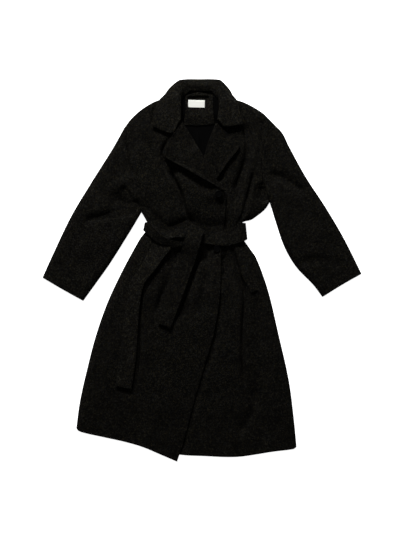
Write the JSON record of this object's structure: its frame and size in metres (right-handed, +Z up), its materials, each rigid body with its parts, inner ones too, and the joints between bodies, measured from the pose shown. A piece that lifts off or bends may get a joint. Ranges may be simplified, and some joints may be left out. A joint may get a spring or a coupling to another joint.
{
  "type": "wrap coat",
  "caption": "Long wrap coat in felted wool, laid flat: lapels and collar, set-in sleeves, fronts wrapped over each other, tied belt, slanted pocket welts.",
  "frame": {"origin": "middle of the bounding box in X and Y, on the surface that the coat lies on", "axes": "+Y towards the collar, +Z up out of the fronts, -X to the wearer's right"},
  "size_m": [0.986, 1.1813, 0.0427],
  "materials": {
    "wool": "felted, near-black charcoal melange",
    "lining": "satin",
    "tape": "woven tape",
    "horn": "polished horn"
  },
  "bodies": {
    "root": {"back": "wool", "back_lining": "lining", "back_neck_facing": "wool", "belt_back": "wool", "belt_left_stretch": "wool", "belt_long_end": "wool", "belt_right_stretch": "wool", "belt_short_end": "wool", "button_1": "horn", "button_2": "horn", "collar": "wool", "front_left": "wool", "front_right": "wool", "hanger_loop": "wool", "label": "tape", "lapel_left": "wool", "lapel_right": "wool", "pocket_welt_left": "wool", "pocket_welt_right": "wool", "top_sleeve_left": "wool", "top_sleeve_right": "wool", "under_sleeve_left": "wool", "under_sleeve_right": "wool"}
  },
  "joints": []
}
